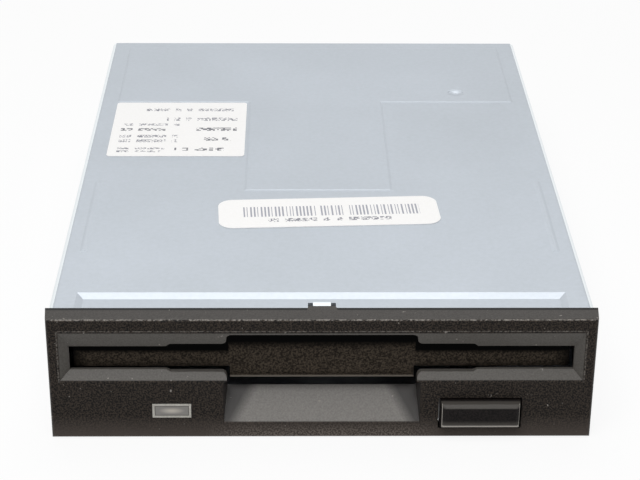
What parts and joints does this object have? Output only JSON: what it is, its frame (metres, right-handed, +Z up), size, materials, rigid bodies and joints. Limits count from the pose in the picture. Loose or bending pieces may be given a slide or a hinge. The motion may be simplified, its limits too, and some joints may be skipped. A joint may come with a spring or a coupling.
{
  "type": "floppy disk drive",
  "caption": "Internal 3.5-inch floppy disk drive with a dark bezel, sprung dust flap, eject button and plated cover over a working load, spindle and head mechanism.",
  "frame": {"origin": "middle of the drive's box at the level of its base", "axes": "+Y runs from the bezel to the rear connectors, +Z up, +X right seen from the front"},
  "size_m": [0.1016, 0.149, 0.0254],
  "materials": {
    "bezel_plastic": "fine moulded texture",
    "lens_plastic": "clear, slightly grey",
    "lamp_plastic": "tinted clear",
    "plated_steel": "bright zinc plate",
    "label_film": "printed film",
    "cast_alloy": "die cast",
    "board_laminate": "green solder mask",
    "chip_moulding": "moulded",
    "connector_plastic": "moulded",
    "power_plastic": "moulded",
    "pin_metal": "plated",
    "bright_steel": "ground or drawn",
    "bearing_bronze": "sintered",
    "winding_copper": "enamelled",
    "core_iron": "stamped sheet",
    "magnet_ferrite": "sintered",
    "carriage_plastic": "moulded",
    "head_ceramic": "lapped",
    "flex_film": "film",
    "capacitor_sleeve": "shrunk sleeve"
  },
  "bodies": {
    "frame": {"front_bezel": "bezel_plastic", "status_lens": "lens_plastic", "status_lamp": "lamp_plastic", "top_cover": "plated_steel", "rating_label": "label_film", "barcode_label": "label_film", "chassis": "cast_alloy", "spindle_bearing": "bearing_bronze", "stator_core": "core_iron", "stator_coils": "winding_copper", "motor_board": "board_laminate", "motor_chip": "chip_moulding", "motor_screws": "bright_steel", "main_board": "board_laminate", "board_screws": "bright_steel", "controller_chip": "chip_moulding", "amplifier_chip": "chip_moulding", "capacitors": "capacitor_sleeve", "motor_ribbon": "flex_film", "signal_header": "connector_plastic", "signal_pins": "pin_metal", "power_connector": "power_plastic", "power_pins": "pin_metal", "stepper_bracket": "plated_steel", "bracket_screws": "bright_steel", "stepper_motor": "bright_steel", "guide_rod": "bright_steel", "track_zero_sensor": "chip_moulding", "head_flex": "flex_film", "flex_socket": "connector_plastic", "switch_bodies": "chip_moulding", "slide_springs": "bright_steel"},
    "flap": {"dust_flap": "bezel_plastic", "flap_spring": "bright_steel"},
    "slider": {"slide_plate": "plated_steel", "eject_button": "bezel_plastic"},
    "carrier": {"disk_carrier": "plated_steel", "carrier_pins": "bright_steel", "lever_rivet": "bright_steel", "lever_spring": "bright_steel"},
    "lever": {"shutter_lever": "plated_steel"},
    "spindle": {"rotor_cup": "plated_steel", "rotor_magnet": "magnet_ferrite", "spindle_shaft": "bright_steel", "spindle_hub": "bright_steel", "hub_magnet": "magnet_ferrite"},
    "drive_pin_body": {"drive_pin": "bright_steel"},
    "screw": {"lead_screw": "bright_steel"},
    "carriage": {"head_carriage": "carriage_plastic", "lower_head": "head_ceramic", "arm_pin": "bright_steel", "screw_follower": "bright_steel"},
    "head_arm": {"upper_head_arm": "plated_steel", "upper_head": "head_ceramic"},
    "write_tab_switch": {"write_tab_plunger": "carriage_plastic"},
    "disk_switch": {"disk_plunger": "carriage_plastic"},
    "density_switch": {"density_plunger": "carriage_plastic"}
  },
  "joints": [
    {"name": "flap_swing", "type": "hinge", "parent": "frame", "child": "flap", "pos_m": [0, -0.0682, 0.0209], "axis": [1, 0, 0], "range_deg": [0, 85], "stiffness_Nm_per_rad": 0.0008},
    {"name": "slider_travel", "type": "slide", "parent": "frame", "child": "slider", "axis": [0, 1, 0], "range_m": [-0.005, 0.0005], "deforming": ["slide_springs"]},
    {"name": "carrier_lift", "type": "slide", "parent": "frame", "child": "carrier", "axis": [0, 0, 1], "range_m": [-0.00221, 0.00022]},
    {"name": "lever_swing", "type": "hinge", "parent": "carrier", "child": "lever", "pos_m": [-0.022, -0.0225, 0.02], "axis": [0, 0, 1], "range_deg": [-1.5, 14.1], "deforming": ["lever_spring"]},
    {"name": "spindle_turn", "type": "hinge", "parent": "frame", "child": "spindle", "pos_m": [0, -0.0105, 0.006], "axis": [0, 0, 1], "continuous": true},
    {"name": "drive_pin_dip", "type": "slide", "parent": "spindle", "child": "drive_pin_body", "axis": [0, 0, 1], "range_m": [-0.001, 0], "stiffness_N_per_m": 60},
    {"name": "screw_turn", "type": "hinge", "parent": "frame", "child": "screw", "pos_m": [-0.014, 0.0045, 0.0098], "axis": [0, 1, 0], "range_deg": [-0.5, 1422.5]},
    {"name": "carriage_travel", "type": "slide", "parent": "frame", "child": "carriage", "axis": [0, -1, 0], "range_m": [0, 0.01481], "deforming": ["head_flex"]},
    {"name": "arm_lift", "type": "hinge", "parent": "carriage", "child": "head_arm", "pos_m": [0, 0.0515, 0.01675], "axis": [1, 0, 0], "range_deg": [-1.17, 11.56]},
    {"name": "write_tab_press", "type": "slide", "parent": "frame", "child": "write_tab_switch", "axis": [0, 0, 1], "range_m": [-0.0012, 0], "stiffness_N_per_m": 80},
    {"name": "disk_press", "type": "slide", "parent": "frame", "child": "disk_switch", "axis": [0, 0, 1], "range_m": [-0.0012, 0], "stiffness_N_per_m": 80},
    {"name": "density_press", "type": "slide", "parent": "frame", "child": "density_switch", "axis": [0, 0, 1], "range_m": [-0.0012, 0], "stiffness_N_per_m": 80}
  ],
  "couplings": [
    {"joint": "carrier_lift", "follows": "slider_travel", "ratio": 0.44},
    {"joint": "lever_swing", "follows": "slider_travel", "rad_per_m": -48.869},
    {"joint": "arm_lift", "follows": "slider_travel", "rad_per_m": -40.272},
    {"joint": "screw_turn", "follows": "carriage_travel", "rad_per_m": 1675.5}
  ]
}
